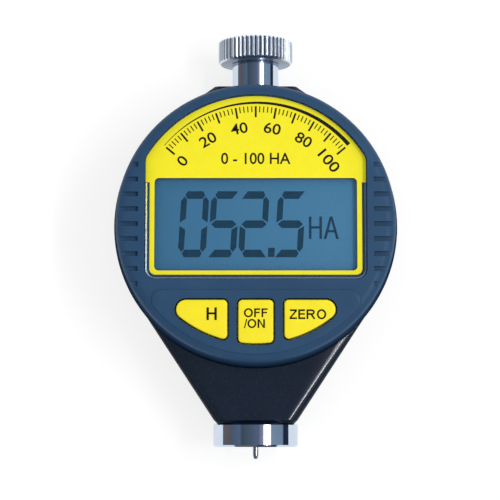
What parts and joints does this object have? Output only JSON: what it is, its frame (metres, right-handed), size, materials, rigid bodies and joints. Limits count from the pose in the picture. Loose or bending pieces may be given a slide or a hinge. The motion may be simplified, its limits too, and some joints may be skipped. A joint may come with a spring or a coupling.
{
  "type": "digital durometer",
  "caption": "Pocket digital durometer: round display case on a tapered die-cast body, presser foot with a sprung indenter, press keys, stem and knurled knob.",
  "frame": {"origin": "centre of the round case, on the outer face of the back cover, which it lies on", "axes": "+Y up the measuring axis from the presser foot to the knob, +Z out of the display, +X to its right"},
  "size_m": [0.0598, 0.0898, 0.0255],
  "materials": {
    "die_cast": "gloss black enamel on a die casting",
    "cover_plastic": "fine moulded grain",
    "case_plastic": "blue-grey moulding with a fine grain",
    "key_plastic": "satin yellow moulding",
    "print": "printed film behind the window",
    "clear": "clear polished window",
    "display": "reflective liquid crystal display",
    "pale_plastic": "plain moulding",
    "carrier_plastic": "plain moulding",
    "board": "solder mask",
    "silicone": "translucent silicone",
    "seal_rubber": "moulded ring",
    "steel": "turned and ground",
    "brass": "turned",
    "chrome": "bright plate"
  },
  "bodies": {
    "housing": {"metal_body": "die_cast", "back_cover": "cover_plastic", "cover_screws": "steel", "battery_cell": "steel", "battery_contacts": "brass", "front_case": "case_plastic", "case_screws": "steel", "window_lens": "clear", "face_label": "print", "lcd_panel": "display", "lcd_frame": "pale_plastic", "zebra_strips": "silicone", "main_board": "board", "board_screws": "steel", "sensor_board": "board", "key_mat": "silicone", "presser_foot": "chrome", "lower_bush": "brass", "upper_bush": "brass", "guide_rod": "steel", "measuring_spring": "steel", "spring_adjuster": "brass", "stem": "chrome"},
    "plunger": {"spindle": "steel", "indenter": "steel", "scale_carrier": "carrier_plastic", "carrier_screw": "steel", "scale_strip": "display", "spring_seat": "brass"},
    "hold_key": {"hold_key": "key_plastic"},
    "power_key": {"power_key": "key_plastic"},
    "zero_key": {"zero_key": "key_plastic"},
    "knob": {"knob": "chrome"},
    "battery_cap": {"battery_cap": "cover_plastic", "cap_seal": "seal_rubber"}
  },
  "joints": [
    {"name": "indenter_slide", "type": "slide", "parent": "housing", "child": "plunger", "axis": [0, 1, 0], "range_m": [0, 0.0025], "stiffness_N_per_m": 3000, "springref_m": -0.0002, "deforming": ["measuring_spring"]},
    {"name": "hold_press", "type": "slide", "parent": "housing", "child": "hold_key", "axis": [0, 0, -1], "range_m": [0, 0.0006], "stiffness_N_per_m": 1500, "springref_m": -0.0004, "deforming": ["key_mat"]},
    {"name": "power_press", "type": "slide", "parent": "housing", "child": "power_key", "axis": [0, 0, -1], "range_m": [0, 0.0006], "stiffness_N_per_m": 1500, "springref_m": -0.0004, "deforming": ["key_mat"]},
    {"name": "zero_press", "type": "slide", "parent": "housing", "child": "zero_key", "axis": [0, 0, -1], "range_m": [0, 0.0006], "stiffness_N_per_m": 1500, "springref_m": -0.0004, "deforming": ["key_mat"]},
    {"name": "knob_turn", "type": "hinge", "parent": "housing", "child": "knob", "pos_m": [0, 0.0385, 0.0095], "axis": [0, 1, 0], "continuous": true},
    {"name": "battery_cap_turn", "type": "hinge", "parent": "housing", "child": "battery_cap", "pos_m": [0.0145, 0.001, 0.001], "axis": [0, 0, 1], "continuous": true}
  ]
}
